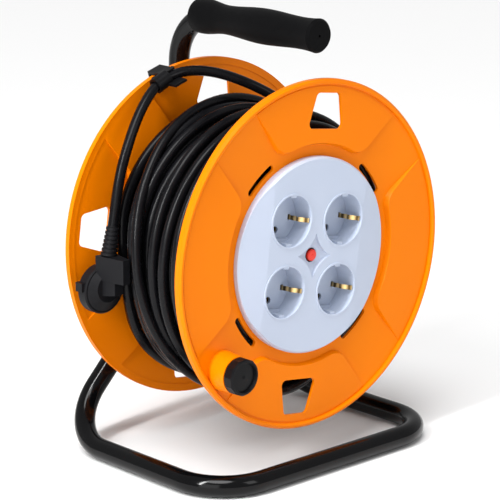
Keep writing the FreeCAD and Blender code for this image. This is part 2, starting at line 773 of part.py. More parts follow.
def inner_wiring():
    """The cord's inner end, from the core wall through the clamp, and its three cores."""
    inner_end = 34.0
    sheath = Part.makeCylinder(size("cord_diameter / 2 - 0.05"), size("core_radius") + 1.5 - inner_end,
                               Vector(inner_end, 0, 0), Vector(1, 0, 0))
    finish(feature("inner_sheath_shape", sheath), "inner_sheath", entry_place())
    deep = size("cord_entry_axial")
    spin = Rotation(Vector(0, 0, 1), size("cord_entry_angle"))
    pitch, drop = size("terminal_pitch"), size("terminal_drop")
    tops = size("carrier_front - carrier_wall - 15")
    for index, name in ((-1, "live_wire"), (0, "earth_wire"), (1, "neutral_wire")):
        start = spin.multVec(Vector(inner_end, 2.1 * index, 0)) + Vector(0, 0, deep)
        turn = spin.multVec(Vector(inner_end - 8, 2.1 * index, 0)) + Vector(0, 0, deep)
        rise = turn + Vector(0, 0, 26 + 2.5 * index)
        end = Vector(-pitch * index, -drop, tops)
        wire = round_path([start, turn, rise, end + Vector(0, 0, -20), end], [6, 9, 9])
        finish(feature(name + "_shape", swept(wire, 0.95)), name, DRUM)


def screw(label, at, shank, length, head, depth, down):
    """A screw on Z with its head at the given place; down is the way its shank points."""
    low = "%s - (%s)" % (at[2], length) if down < 0 else at[2]
    body = cylinder(label + "_shank", shank, length, (at[0], at[1], low))
    top = at[2] if down < 0 else "%s - (%s)" % (at[2], depth)
    cap = cylinder(label + "_head", head, depth, (at[0], at[1], top))
    deep = "%s + (%s) - 1" % (top, depth) if down < 0 else "%s - 1" % top
    cross = [block("%s_cross_%d" % (label, index), 3.6 - 2.8 * index, 0.8 + 2.8 * index, 2,
                   (at[0], at[1], deep)) for index in range(2)]
    return cut(label, fuse(label + "_blank", [body, cap]), cross)


def core_screws():
    """Long screws from the back, through the rear web and the core's posts into the panel."""
    rows = []
    for index, angle in enumerate(QUARTERS):
        turn = math.radians(angle)
        at = ("post_circle * %f" % math.cos(turn), "post_circle * %f" % math.sin(turn),
              "0 - floor_front_inner - 0.7")
        rows.append(screw("rear_screw_%d" % index, at, 1.45, "floor_front_inner * 2 + 2", 3.6, 2.2, 1))
    finish(group("rear_screw_set", rows), "drum_screws", DRUM)


# ---- winding knob ----

def knob_place():
    turn = math.radians(size("knob_angle"))
    return "knob_circle * %f" % math.cos(turn), "knob_circle * %f" % math.sin(turn)


def knob():
    x, y = knob_place()
    low = "boss_front + knob_gap"
    grip = doc.addObject("Part::Prism", "knob_prism")
    grip.Polygon = 12
    bind(grip, Circumradius="knob_radius", Height="knob_length")
    place_at(grip, (x, y, low))
    shape = revolved("knob_turn", [
        (0, 0),
        ("knob_radius - 0.8", 0),
        ("knob_radius + 0.2", 1),
        ("knob_radius + 0.2", "knob_length - 1.6"),
        ("knob_radius - 1.4", "knob_length"),
        ("knob_radius - 2.6", "knob_length"),
        ("knob_radius - 3.2", "knob_length - 2.2"),
        (0, "knob_length - 1.8"),
    ])
    place_at(shape, (x, y, low))
    body = common("knob_common", grip, shape)
    bore = cylinder("knob_bore", "stud_radius + 0.05", "knob_length * 0.6", (x, y, low + " - 0.1"))
    seat = cylinder("knob_seat", "stud_radius + 2.0", 3.4, (x, y, low + " + 2.4"))
    return finish(cut("knob_cut", body, [bore, seat]), "winding_knob", DRUM)


def knob_stud():
    """Shoulder screw on which the knob turns; its nut sits inside the boss."""
    x, y = knob_place()
    low = "floor_front_inner - 1"
    shank = cylinder("stud_shank", "stud_radius", "boss_front + knob_gap + 4.2 - floor_front_inner",
                     (x, y, low))
    head = cylinder("stud_head", "stud_radius + 1.6", 1.6, (x, y, "boss_front + knob_gap + 3"))
    finish(fuse("stud_body", [shank, head]), "knob_stud", DRUM)
    nut = doc.addObject("Part::Prism", "stud_nut_prism")
    nut.Polygon = 6
    bind(nut, Circumradius="stud_radius * 1.9", Height=4)
    place_at(nut, (x, y, "boss_front - 8.4"))
    hole = cylinder("stud_nut_hole", "stud_radius", 6, (x, y, "boss_front - 9"))
    finish(cut("stud_nut_cut", nut, [hole]), "knob_nut", DRUM)
    washer = tube("knob_washer_ring", "stud_radius + 3", "stud_radius + 0.1", "knob_gap - 0.1",
                  (x, y, "boss_front"))
    finish(washer, "knob_washer", DRUM)


# ---- tube stand, grip and axle ----

def stand_points():
    drop = size("leg_top_drop")
    floor = size("tube_radius - axle_height")
    half, back, front, post = size("foot_half"), size("foot_back"), -size("foot_front"), size("post_y")
    top = size("handle_rise")
    tongue = post - size("tube_radius") - size("tongue_thick") / 2
    meet = Vector(0, tongue, 0)
    corner = Vector(half, back, floor)
    toward = (corner - meet).normalize()
    return [
        Vector(0, -size("handle_end"), top), Vector(0, post, top), Vector(0, post, -drop),
        Vector(-half, back, floor), Vector(-half, front, floor), Vector(half, front, floor),
        corner, meet + toward * size("tongue_length"),
    ]


def handle_run(radius):
    """The tube under the grip and its bend, as a solid of the given radius."""
    points = stand_points()[:3]
    points[0] = Vector(0, -size("handle_end") - 0.3, size("handle_rise"))
    points[2] = Vector(0, points[1].y, size("handle_rise") - 60)
    return swept(round_path(points, [size("handle_bend")]), radius)


def frame_tube():
    points = stand_points()
    radii = [size(name) for name in ("handle_bend", "post_bend", "foot_bend", "corner_bend", "corner_bend",
                                     "foot_bend")]
    path = round_path(points, radii)
    outer = swept(path, size("tube_radius"))
    inner = swept(path, size("tube_radius - tube_wall"))
    end, toward = points[-1], (points[-2] - points[-1]).normalize()
    across = Vector(0, 1, 0).cross(toward).normalize()
    flat_from = end - toward * 15
    thick, wide = size("tongue_thick"), size("tongue_width")
    thin = toward.cross(across).normalize() * thick / 2
    ring = Part.Wire([Part.makeCircle(size("tube_radius"), end, toward)])
    edge = across * wide / 2
    corners = [flat_from + edge + thin, flat_from - edge + thin, flat_from - edge - thin,
               flat_from + edge - thin]
    oblong = Part.makePolygon(corners + corners[:1])
    neck = Part.makeLoft([ring, oblong], True, True)
    tab = Part.Face(oblong).extrude(toward * -(size("tongue_length") - 15))
    post = size("post_y")
    eye_low = Vector(0, post - size("tube_radius") - thick, 0)
    eye = Part.makeCylinder(wide / 2, thick, eye_low, Vector(0, 1, 0))
    tongue = neck.fuse([tab, eye])
    post_clear = Part.makeCylinder(size("tube_radius") + 0.02, 300, Vector(0, post, -20), Vector(0, 0, 1))
    tongue = tongue.cut(post_clear)
    body = outer.cut(inner).fuse(tongue)
    bore = Part.makeCylinder(size("bolt_radius") + 0.3, 40, Vector(0, post - 20, 0), Vector(0, 1, 0))
    return finish(feature("frame_tube_shape", body.cut(bore)), "frame_tube", STAND)


def grip():
    front, back = -size("grip_front"), size("grip_back")
    span = back - front
    stations = [(back, "grip_collar_radius"), (back - span * 0.1, "grip_collar_radius"),
                (back - span * 0.2, "grip_neck_radius"), (back - span * 0.3, "grip_neck_radius"),
                (back - span * 0.5, "grip_swell_radius"), (back - span * 0.62, "grip_swell_radius"),
                (back - span * 0.82, "grip_waist_radius"), (front + 2, "grip_end_radius")]
    points = [Vector(size(name), along, 0) for along, name in stations]
    curve = Part.BSplineCurve()
    curve.interpolate(points)
    tip = size("grip_end_radius")
    corners = [points[-1], Vector(tip - 1.6, front, 0), Vector(0, front, 0), Vector(0, back, 0), points[0]]
    lines = [Part.LineSegment(a, b).toShape() for a, b in zip(corners, corners[1:])]
    face = Part.Face(Part.Wire([curve.toShape()] + lines))
    solid = face.revolve(Vector(), Vector(0, 1, 0), 360)
    vent = Part.makeCylinder(1.1, 12, Vector(0, front - 1, 0), Vector(0, 1, 0))
    solid = solid.cut(vent)
    solid.translate(Vector(0, 0, size("handle_rise")))
    solid = solid.cut(handle_run(size("tube_radius") + 0.1))
    return finish(feature("grip_shape", solid), "handle_grip", STAND)


def axle():
    """Pieces on the axle bolt, from the head behind the post to the nut inside the core."""
    post = size("post_y")
    rear = FACING
    saddle = cylinder("saddle_blank", "bolt_radius + 6", "tube_radius + 1.5",
                      (0, 0, "0 - post_y - tube_radius - 1.5"))
    dent = cylinder("saddle_dent", "tube_radius + 0.02", 40, (0, 0, 0))
    dent = turned(dent, 90, Vector(1, 0, 0))
    dent.Placement = Placement(Vector(0, 20, -post), Rotation()).multiply(dent.Placement)
    hole = cylinder("saddle_hole", "bolt_radius + 0.2", 30, (0, 0, "0 - post_y - 20"))
    finish(cut("saddle_cut", saddle, [dent, hole]), "saddle_washer", rear)
    head = revolved("bolt_turn", [
        (0, "0 - post_y - tube_radius - 1.5 - 4"),
        (4, "0 - post_y - tube_radius - 1.5 - 4"),
        (9, "0 - post_y - tube_radius - 1.5 - 1.6"),
        (10, "0 - post_y - tube_radius - 1.5"),
        ("bolt_radius", "0 - post_y - tube_radius - 1.5"),
        ("bolt_radius", "0 - 20"),
        (0, "0 - 20"),
    ])
    finish(head, "axle_bolt", rear)
    low = "0 - post_y + tube_radius + tongue_thick"
    barrel = tube("journal_barrel", "journal_radius", "bolt_radius + 0.2",
                  "post_y - tube_radius - tongue_thick - 34", (0, 0, low))
    shoulder = tube("journal_shoulder", "journal_radius + 6", "bolt_radius + 0.2", 2.6, (0, 0, low))
    finish(fuse("journal_body", [barrel, shoulder]), "axle_journal", rear)
    finish(tube("keeper_ring", "journal_radius + 6", "bolt_radius + 0.2", 2, (0, 0, "0 - 34")),
           "keeper_washer", rear)
    nut = doc.addObject("Part::Prism", "axle_nut_prism")
    nut.Polygon = 6
    bind(nut, Circumradius="bolt_radius * 1.9", Height=8)
    place_at(nut, (0, 0, "0 - 32"))
    bore = cylinder("axle_nut_bore", "bolt_radius", 12, (0, 0, "0 - 34"))
    finish(cut("axle_nut_cut", nut, [bore]), "axle_nut", rear)


# ---- cord, plug and clip ----

def coil():
    """Outer shape of the winding: a wide part that hangs low, a narrower part at the rear, and a hollow
    in the left side where the plug lies."""
    half, step = size("coil_half_width"), size("coil_step")
    low, rear_low = Vector(0, -size("coil_drop"), -step), Vector(0, -size("coil_drop"), -half)
    wide = Part.makeCylinder(size("coil_radius"), half + step, low)
    narrow = Part.makeCylinder(size("coil_rear_radius"), half - step + 1, rear_low)
    inner = Part.makeCylinder(size("coil_inner_radius"), half * 3, Vector(0, 0, -half * 1.5))
    reach = size("plug_grip_half") + 1
    hollow = Part.makeBox(40, 68, 60, Vector(size("plug_x") + reach - 37.4, -25, -78))
    face = Vector(size("plug_x"), -size("plug_drop"), -size("plug_face"))
    seat = Part.makeCone(size("plug_radius") + 4, reach, size("plug_depth"), face)
    behind = Vector(face.x, face.y, -half - 1)
    keys = Part.makeCylinder(size("plug_radius") + 4, size("plug_disc_depth") + 2.5, behind)
    body = wide.fuse(narrow).cut([inner, hollow, seat, keys])
    return finish(feature("coil_shape", body), "cord_coil", FACING)


# Points of the lead, from the coil over the top, through the clip and down to the plug,
# counted from the axle in the row's directions.
LEAD = [
    (61.0, -2.0, 78.0), (45.0, 3.0, 96.5), (27.0, 12.0, 110.5), (9.0, 25.0, 121.5),
    (-7.5, 38.5, 128.3), (-24.0, 49.0, 130.0), (-40.0, 53.6, 126.5), (-54.5, 54.0, 119.5),
    (-69.0, 50.0, 108.3), (-81.0, 46.0, 95.5), (-91.5, 42.0, 81.0), (-99.3, 40.0, 66.0),
    (-103.9, 39.4, 51.0), (-106.7, 39.5, 36.5), (-109.3, 39.5, 22.5),
]


def lead_radii(points):
    """Each arc is as large as its two runs allow: 0.45 of the shorter over the tangent of half the turn."""
    radii = []
    for before, point, after in zip(points, points[1:], points[2:]):
        turn = (point - before).getAngle(after - point)
        shorter = min((point - before).Length, (after - point).Length)
        radii.append(0.45 * shorter / math.tan(turn / 2))
    return radii


def lead():
    points = [Vector(*point) for point in LEAD]
    radii = lead_radii(points)
    path = round_path(points, radii)
    solid = swept(path, size("cord_diameter / 2"))
    expected = math.pi * size("cord_diameter / 2") ** 2 * path.Length
    print("lead radii", [round(radius) for radius in radii])
    print("lead length", round(path.Length, 1), "volume over section times length",
          round(solid.Volume / expected, 4))
    return finish(feature("lead_shape", solid), "cord_lead", STAND)


def upright_wire(half, bottom, top, height):
    """Closed rectangle 2 * half wide from bottom to top, at a height along Z."""
    corners = [(-half, bottom), (half, bottom), (half, top), (-half, top), (-half, bottom)]
    return Part.makePolygon([Vector(x, y, height) for x, y in corners])


def plug_body():
    """Round face with two side keys and two strip seats, a body that narrows, and an upright grip."""
    deep, radius = size("plug_disc_depth"), size("plug_radius")
    disc = revolved("plug_disc", [
        (0, 0),
        ("plug_radius - 0.8", 0),
        ("plug_radius", 0.8),
        ("plug_radius", "plug_disc_depth - 1"),
        ("plug_radius - 1", "plug_disc_depth"),
        (0, "plug_disc_depth"),
    ])
    low = Part.Wire([Part.makeCircle(radius - 1.5, Vector(0, 0, deep - 0.5))])
    high = Part.Wire([Part.makeCircle(radius - 8, Vector(0, 2, deep + 5))])
    taper = feature("plug_taper", Part.makeLoft([low, high], True))
    top, bottom = size("plug_drop"), size("plug_drop - plug_grip_rise")
    ends = [upright_wire(size(half), bottom, top, height) for half, height in (
        ("plug_grip_half", deep - 1), ("plug_grip_tip", size("plug_depth")))]
    grip_body = feature("plug_grip", Part.makeLoft(ends, True))
    keys = [block("plug_key_%d" % sign, 5, 7, "plug_disc_depth - 2",
                  ("%d * (plug_radius - 0.6)" % sign, 4.5, 0)) for sign in (-1, 1)]
    chin_drop, chin_end = size("plug_chin_drop"), deep + size("plug_chin_depth")
    chin = feature("plug_chin", Part.makeLoft([
        upright_wire(size("plug_chin_half"), -chin_drop, bottom + 1, deep - 1),
        upright_wire(size("plug_chin_tip"), 3 - chin_drop, bottom + 1, chin_end),
    ], True))
    body = fuse("plug_solid", [disc, taper, grip_body, chin] + keys)
    seats = [block("plug_seat_%d" % sign, 4.6, 4.4, "plug_disc_depth * 2 - 2",
                   (0, "%d * plug_radius" % sign, "0 - plug_disc_depth")) for sign in (-1, 1)]
    return finish(cut("plug_cut", body, seats), "plug_body", plug_place())


def plug_place():
    """Plug axes: Z from the face back to the grip, Y towards the cord's way out."""
    face = Vector(size("plug_x"), size("plug_face"), -size("plug_drop"))
    return STAND.multiply(Placement(face, Rotation(Vector(1, 0, 0), 90)))


def plug_metal():
    prongs = [cylinder("prong_%d" % sign, "prong_radius", "prong_length",
                       ("%d * pin_pitch / 2" % sign, 0, "0 - prong_length")) for sign in (-1, 1)]
    finish(group("prong_pair", prongs), "plug_prongs", plug_place())
    strips = [block("strip_%d" % sign, 4.4, 0.8, "plug_disc_depth - 2.6",
                    (0, "%d * (plug_radius - 1.8)" % sign, 0.6)) for sign in (-1, 1)]
    finish(group("strip_pair", strips), "plug_earth_strips", plug_place())


def strain_relief():
    """Tapered, ribbed sleeve from the top of the plug's grip to the start of the lead."""
    top = Vector(*LEAD[-1])
    base = Vector(size("plug_x"), LEAD[-1][1], 0)
    along = top - base
    rings = 7
    pitch = along.Length / rings
    outline = [(0, 0), (6.4, 0)]
    for index in range(rings):
        low = index * pitch
        radius = 6.4 - 1.4 * index / (rings - 1)
        groove = radius - 0.9
        outline += [(radius, low + pitch * 0.62), (groove, low + pitch * 0.7), (groove, low + pitch)]
        if index < rings - 1:
            outline.append((radius - 0.25, low + pitch))
    outline.append((0, along.Length))
    wire = Part.makePolygon([Vector(radius, 0, height) for radius, height in outline + outline[:1]])
    solid = Part.Face(wire).revolve(Vector(), Vector(0, 0, 1), 360)
    where = STAND.multiply(Placement(base, Rotation(Vector(0, 0, 1), along)))
    foot = Part.makeBox(40, 40, 10, Vector(-20, -20, -10))
    lean = Placement(Vector(), Rotation(Vector(0, 0, 1), along)).inverse()
    foot.Placement = lean
    return finish(feature("relief_shape", solid.cut(foot)), "strain_relief", where)


def cord_clip():
    """Plastic clip hooked over the rear rim, with a round loop for the cord."""
    low, high = Vector(*LEAD[6]), Vector(*LEAD[7])
    middle = (low + high) / 2
    out = Vector(middle.x, 0, middle.z).normalize()
    along = (high - low).normalize()
    radius = size("cord_diameter / 2 + 0.3")
    reach = math.hypot(middle.x, middle.z)
    edge = size("flange_radius")
    face = size("rim_front")
    loop = Part.makeCylinder(radius + 2.0, 13, middle - along * 6.5, along)
    bore = Part.makeCylinder(radius, 20, middle - along * 10, along)

    def slab(inner, outer, front, back, width):
        shape = Part.makeBox(outer - inner, back - front, width, Vector(inner, front, -width / 2))
        angle = math.degrees(math.atan2(out.z, out.x)) - size("clip_lean")
        shape.rotate(Vector(), Vector(0, 1, 0), -angle)
        return shape

    arm = slab(reach + 3.0, edge + 2.8, middle.y - 2, face - size("rim_depth") - 0.4, 13)
    top = slab(edge + 0.5, edge + 2.8, middle.y - 2, face + 2.2, 13)
    lip = slab(edge - 7, edge + 2.8, face + 0.4, face + 2.2, 13)
    tab = slab(reach - 3.4, reach - 1.6, middle.y - 14.5, middle.y - 4, 12)
    seat = slab(reach - 8, reach + 4, face - size("rim_depth") - 3.4, face - size("rim_depth") - 0.8, 22)
    points = [Vector(*point) for point in LEAD]
    passage = swept(round_path(points, lead_radii(points)), radius)
    body = loop.fuse([arm, top, lip, seat, tab]).cut([bore, passage])
    return finish(feature("cord_clip_shape", body), "cord_clip", STAND)


def build():
    front_flange()
    rear_flange()
    drum_core()
    hub_bush()
    socket_panel()
    for index in range(len(WELLS)):
        earth_clip(index)
        pin_sleeves(index)
    contact_carrier()
    bus_bars()
    thermal_cutout()
    reset_button()
    button_spring()
    terminals()
    cable_clamp()
    inner_wiring()
    core_screws()
    knob()
    knob_stud()
    frame_tube()
    grip()
    axle()
    coil()
    lead()
    plug_body()
    plug_metal()
    strain_relief()
    cord_clip()


def check_and_write():
    """Stop if any object failed or any sub-part is unsound, then write each sub-part."""
    for obj in doc.Objects:
        if "Invalid" in obj.State or "Error" in obj.State:
            raise RuntimeError("%s failed: %s" % (obj.Name, obj.State))
    for obj in PARTS:
        if obj.Shape.isNull() or not obj.Shape.isValid():
            raise RuntimeError("%s has no sound shape" % obj.Label)
    os.makedirs("parts", exist_ok=True)
    for obj in PARTS:
        obj.Shape.exportStep(os.path.join("parts", obj.Label + ".step"))


build()
doc.recompute()
check_and_write()
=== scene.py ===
import json
import math

import bmesh
import bpy
import numpy as np
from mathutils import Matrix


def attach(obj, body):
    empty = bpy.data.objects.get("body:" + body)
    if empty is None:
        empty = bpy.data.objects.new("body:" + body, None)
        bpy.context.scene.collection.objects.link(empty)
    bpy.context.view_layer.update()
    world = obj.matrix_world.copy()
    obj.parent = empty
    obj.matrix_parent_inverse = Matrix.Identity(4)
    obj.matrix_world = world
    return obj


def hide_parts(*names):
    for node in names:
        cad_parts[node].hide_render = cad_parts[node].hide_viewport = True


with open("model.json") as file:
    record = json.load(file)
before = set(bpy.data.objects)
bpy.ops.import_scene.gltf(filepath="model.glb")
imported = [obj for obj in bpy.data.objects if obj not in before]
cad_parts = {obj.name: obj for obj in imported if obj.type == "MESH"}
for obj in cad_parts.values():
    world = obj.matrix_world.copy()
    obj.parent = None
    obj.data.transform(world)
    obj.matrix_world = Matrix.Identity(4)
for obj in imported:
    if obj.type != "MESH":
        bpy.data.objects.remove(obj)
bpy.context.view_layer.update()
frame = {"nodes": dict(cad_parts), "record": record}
nodes = frame["nodes"]
print("frame loaded:", len(nodes), "nodes")

mm = 0.001
axle = np.array([0.0, -2.9, 165.25]) * mm  # middle of the drum on its axle


def linear(code):  # sRGB hex such as "F28C1E" to a linear colour with alpha
    values = np.array([int(code[i:i + 2], 16) for i in (0, 2, 4)]) / 255
    curved = np.where(values <= 0.04045, values / 12.92, ((values + 0.055) / 1.055) ** 2.4)
    return (*curved.tolist(), 1.0)


def addNode(tree, kind, links=(), **settings):
    # adds one node, sets its properties by name and joins the given outputs to its inputs
    node = tree.nodes.new(kind)
    for name, value in settings.items():
        setattr(node, name, value)
    for source, target in links:
        tree.links.new(source, node.inputs[target])
    return node


def newMaterial(name, look):
    # principled surface from a dictionary: colour, colour spots, roughness range and fine bump
    material = bpy.data.materials.new(name)
    material.use_nodes = True
    tree = material.node_tree
    tree.nodes.clear()
    coords = addNode(tree, "ShaderNodeTexCoord")
    place = coords.outputs["Object"]
    spotsAndPaintedBands = addNode(tree, "ShaderNodeTexNoise", [(place, "Vector")])
    spotsAndPaintedBands.inputs["Scale"].default_value = 1 / (look["cloudMm"] * mm)
    spotsAndPaintedBands.inputs["Detail"].default_value = 3.0
    if "paintedHighlightBandsMm" in look:
        # painted highlight bands across the depth, a little uneven: bright ones stand for light on the
        # strip's crowns, dark ones for painted shade between;
        # the wave's angle is 20 * scale * y, so one band each so many mm needs scale = 2 pi / 20 /
        # that width
        spotsAndPaintedBands = addNode(tree, "ShaderNodeTexWave", [(place, "Vector")], bands_direction="Y")
        spotsAndPaintedBands.inputs["Scale"].default_value = 2 * math.pi / 20 / (look["paintedHighlightBandsMm"] * mm)
        spotsAndPaintedBands.inputs["Distortion"].default_value = 1.2
    # where a material has bands, this mix paints highlight bands on the crowns and painted shade
    # between them
    tint = addNode(tree, "ShaderNodeMix", [(spotsAndPaintedBands.outputs["Fac"], "Factor")], data_type="RGBA")
    tint.inputs[6].default_value = linear(look["colour"])
    tint.inputs[7].default_value = linear(look["colourSpots"])
    rough = addNode(tree, "ShaderNodeMapRange", [(spotsAndPaintedBands.outputs["Fac"], "Value")])
    noiseLow, noiseHigh = 0.3, 0.7  # nearly all of the noise lies between these
    rough.inputs["From Min"].default_value = noiseLow
    rough.inputs["From Max"].default_value = noiseHigh
    rough.inputs["To Min"].default_value = look["rough"][0]
    rough.inputs["To Max"].default_value = look["rough"][1]
    grain = addNode(tree, "ShaderNodeTexNoise", [(place, "Vector")])
    grain.inputs["Scale"].default_value = 1 / (look["grainMm"] * mm)
    grain.inputs["Detail"].default_value = 2.0
    bump = addNode(tree, "ShaderNodeBump", [(grain.outputs["Fac"], "Height")])
    bump.inputs["Strength"].default_value = look.get("bump", 0.15)
    bump.inputs["Distance"].default_value = look["reliefMm"] * mm
    surface = addNode(tree, "ShaderNodeBsdfPrincipled",
                      [(tint.outputs[2], "Base Color"), (rough.outputs["Result"], "Roughness"),
                       (bump.outputs["Normal"], "Normal")])
    surface.inputs["Metallic"].default_value = look.get("metallic", 0.0)
    if look.get("metallic", 0.0) < 0.5:
        surface.inputs["IOR"].default_value = look.get("ior", 1.5)
    surface.inputs["Specular IOR Level"].default_value = look.get("shine", 0.5)
    surface.inputs["Sheen Weight"].default_value = look.get("sheen", 0.0)
    addNode(tree, "ShaderNodeOutputMaterial", [(surface.outputs["BSDF"], "Surface")])
    return material


def weldedMesh(names, sharpDegrees):
    # one mesh from CAD nodes: loose triangles welded, shaded smooth up to an angle
    mesh = bpy.data.meshes.new(names[0] + "Mesh")
    work = bmesh.new()
    for name in names:
        work.from_mesh(nodes[name].data)
    weldWithin, shortestEdge = 2e-6, 1e-6  # metres
    bmesh.ops.remove_doubles(work, verts=work.verts, dist=weldWithin)
    bmesh.ops.dissolve_degenerate(work, edges=work.edges, dist=shortestEdge)
    limit = math.radians(sharpDegrees)
    for edge in work.edges:
        edge.smooth = len(edge.link_faces) == 2 and edge.calc_face_angle(0.0) < limit
    for face in work.faces:
        face.smooth = True
    work.to_mesh(mesh)
    work.free()
    return mesh


def standIn(pieceName, names, body, material, sharp=30, bevelMm=0.0,
            bevelSegments=2):
    # a smooth piece that takes the place of CAD nodes, with its corners rounded a little
    piece = bpy.data.objects.new(pieceName, weldedMesh(names, sharp))
    bpy.context.scene.collection.objects.link(piece)
    piece.data.materials.append(material)
    if bevelMm > 0:
        bevel = piece.modifiers.new("roundedCorners", "BEVEL")
        bevel.width = bevelMm * mm
        bevel.segments = bevelSegments
        bevel.limit_method = "ANGLE"
        bevel.angle_limit = math.radians(sharp)
        bevel.harden_normals = True
        bevel.use_clamp_overlap = True
    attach(piece, body)
    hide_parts(*names)
    return piece


cameraSet = {"azimuth": -42.74, "elevation": 14.72, "distance": 1.8644, "lens": 172.9,
             "target": (-0.004535, -0.0029, 0.1577)}
azimuth, elevation = math.radians(cameraSet["azimuth"]), math.radians(cameraSet["elevation"])
# from the target to the camera: x = sin(azimuth) cos(elevation), y = -cos(azimuth) cos(elevation)
backward = np.array([math.sin(azimuth) * math.cos(elevation),
                     -math.cos(azimuth) * math.cos(elevation), math.sin(elevation)])
cameraData = bpy.data.cameras.new("studioCamera")
cameraData.lens = cameraSet["lens"]
cameraData.sensor_width = 36.0
cameraData.clip_end = 20.0
camera = bpy.data.objects.new("studioCamera", cameraData)
camera.location = np.array(cameraSet["target"]) + backward * cameraSet["distance"]
camera.rotation_euler = (math.pi / 2 - elevation, 0.0, azimuth)
bpy.context.scene.collection.objects.link(camera)
bpy.context.scene.camera = camera
print("camera placed")


cord = {
    "diameter": 8.0,  # three-core flexible cord
    "length": 30.0,  # metres
    "pointsPerTurn": 24,
    "startAngle": 37.1,  # where it comes through the core's wall
    # place along the axle after so many turns
    "turns": [0, 0.6, 11.4, 22.8, 34.2, 45.4, 45.8, 52.6, 52.9, 53.0, 53.1, 53.22, 53.36,
              53.5, 53.65, 53.8, 54],
    "across": [40, 49, -50, 50, -50, 49, 48.5, -45, 4, 30, 38, 33, 14, -1, -10, -12, -4],
    "acrossLimits": (-50.8, 50.5),  # the flanges
    # radius of each layer and how far it hangs
    "layerTurns": [0, 11.2, 11.6, 22.6, 23.0, 34.0, 34.4, 45.3, 45.8, 52.5, 52.9, 53.5, 53.8, 54.0],
    "layerRadius": [69.8, 69.8, 79, 79, 88.2, 88.2, 97.4, 97.4, 107, 106.5, 112.5, 112, 108, 104.4],
    "layerDrop": [0, 0, 1.6, 1.6, 3.2, 3.2, 4.9, 4.9, 6.5, 6.5, 6.5, 6.5, 6.5, 6.5],
    # the outermost turns fan out on the left and crowd together on the right
    "looseTurns": [45.4, 45.8, 52.2, 52.5],
    "looseShare": [0, 1, 1, 0],
    "crowding": 0.14,
    "crowdShift": 2.0,
    "crowdRise": 2.2,
    "frontAcross": [-48, -15],  # turns by the front flange are tighter and hang less
    "frontSlack": [0.2, 1.0],
    "wander": 2.6,  # how far a turn strays sideways
    "wanderTight": 0.35,  # share of it in the tight layers, and what loose turns add
    "wanderLoose": 0.5,
    "wanderRates": (0.31, 0.57, 0.83, 1.21),  # waves in a turn
    "swell": 0.25,  # how far the radius strays, at swellRate times those waves
    "swellRate": 1.7,
    "plugAngle": 191.0,  # the plug presses the turns behind it inwards
    "plugAcross": [8, 20, 30, 40, 50],
    "plugPress": [0, 5, 6.5, 11, 14.5],
    "plugReach": (26.0, 15.0),  # degrees before and after the plug that the press fades over
    "plugFullRadius": 106.5,  # turns this far out take the whole press, the first layer none
    "seed": 11,
}
# the lead from the winding over the top, through the clip and down to the plug, from the axle
leadRoute = np.array([
    (61.0, -2.0, 78.0), (45.0, 3.0, 96.5), (27.0, 12.0, 110.5), (9.0, 25.0, 121.5),
    (-7.5, 38.5, 128.3), (-24.0, 49.0, 130.0), (-40.0, 53.6, 126.5), (-54.5, 54.0, 119.5),
    (-69.0, 50.0, 108.3), (-81.0, 46.0, 95.5), (-91.5, 42.0, 81.0), (-99.3, 40.0, 66.0),
    (-103.9, 39.4, 51.0), (-106.7, 39.5, 36.5), (-109.3, 39.5, 22.5),
])


def windingPoints():
    # a helix in layers: x and z go round at the layer's radius about a centre that hangs a little,
    # y runs to and fro between the flanges; loose turns fan out by the share (1 - cos angle) / 2,
    # stray slowly by seeded sines, and give way to the plug by a bell curve of the angle
    count = cord["pointsPerTurn"]
    turn = np.arange(int(cord["turns"][-1] * count)) / count
    angle = math.radians(cord["startAngle"]) + 2 * math.pi * turn
    radius = np.interp(turn, cord["layerTurns"], cord["layerRadius"])
    drop = np.interp(turn, cord["layerTurns"], cord["layerDrop"])
    across = np.interp(turn, cord["turns"], cord["across"])
    left = (1 - np.cos(angle)) / 2
    loose = np.interp(turn, cord["looseTurns"], cord["looseShare"])
    crowd = loose * (1 - left)
    across = across * (1 - crowd * cord["crowding"]) + crowd * cord["crowdShift"]
    looseStart = cord["looseTurns"][1]
    radius = radius + crowd * cord["crowdRise"] * np.cos(math.pi * (turn - looseStart))
    draw = np.random.default_rng(cord["seed"])
    stray = cord["wander"] * (cord["wanderTight"] + cord["wanderLoose"] * loose)
    for rate in cord["wanderRates"]:
        phase = draw.uniform(0, 2 * math.pi, 2)
        wave = 2 * math.pi * rate * turn
        across = across + stray * np.sin(wave + phase[0])
        radius = radius + cord["swell"] * np.sin(wave * cord["swellRate"] + phase[1])
    across = np.clip(across, *cord["acrossLimits"])
    drop = drop * np.interp(across, cord["frontAcross"], cord["frontSlack"])
    fromPlug = angle - math.radians(cord["plugAngle"])
    gap = np.degrees((fromPlug + math.pi) % (2 * math.pi) - math.pi)
    before, after = cord["plugReach"]
    bell = np.exp(-(gap / np.where(gap > 0, after, before)) ** 2)
    innermost = cord["layerRadius"][0]
    depth = np.clip((radius - innermost) / (cord["plugFullRadius"] - innermost), 0, 1)
    press = np.interp(across, cord["plugAcross"], cord["plugPress"])
    radius = radius - bell * depth * press
    # the curve runs inside its corners, nearer by cos(pi / points per turn)
    radius = radius / math.cos(math.pi / count)
    return np.stack([radius * np.cos(angle), across, radius * np.sin(angle) - drop], axis=1)


def cordCurve():
    # one smooth curve as thick as the cord, through the winding and on along the lead
    route = np.concatenate([windingPoints(), leadRoute]) * mm + axle
    data = bpy.data.curves.new("cordFlex", "CURVE")
    data.dimensions = "3D"
    data.bevel_depth = cord["diameter"] / 2 * mm
    data.bevel_resolution = 4
    data.resolution_u = 4
    data.use_fill_caps = True
    spline = data.splines.new("NURBS")
    spline.points.add(len(route) - 1)
    flat = np.concatenate([route, np.ones((len(route), 1))], axis=1)
    spline.points.foreach_set("co", flat.ravel())
    spline.order_u = 3
    spline.use_endpoint_u = True
    piece = bpy.data.objects.new("cordFlex", data)
    bpy.context.scene.collection.objects.link(piece)
    return piece, route


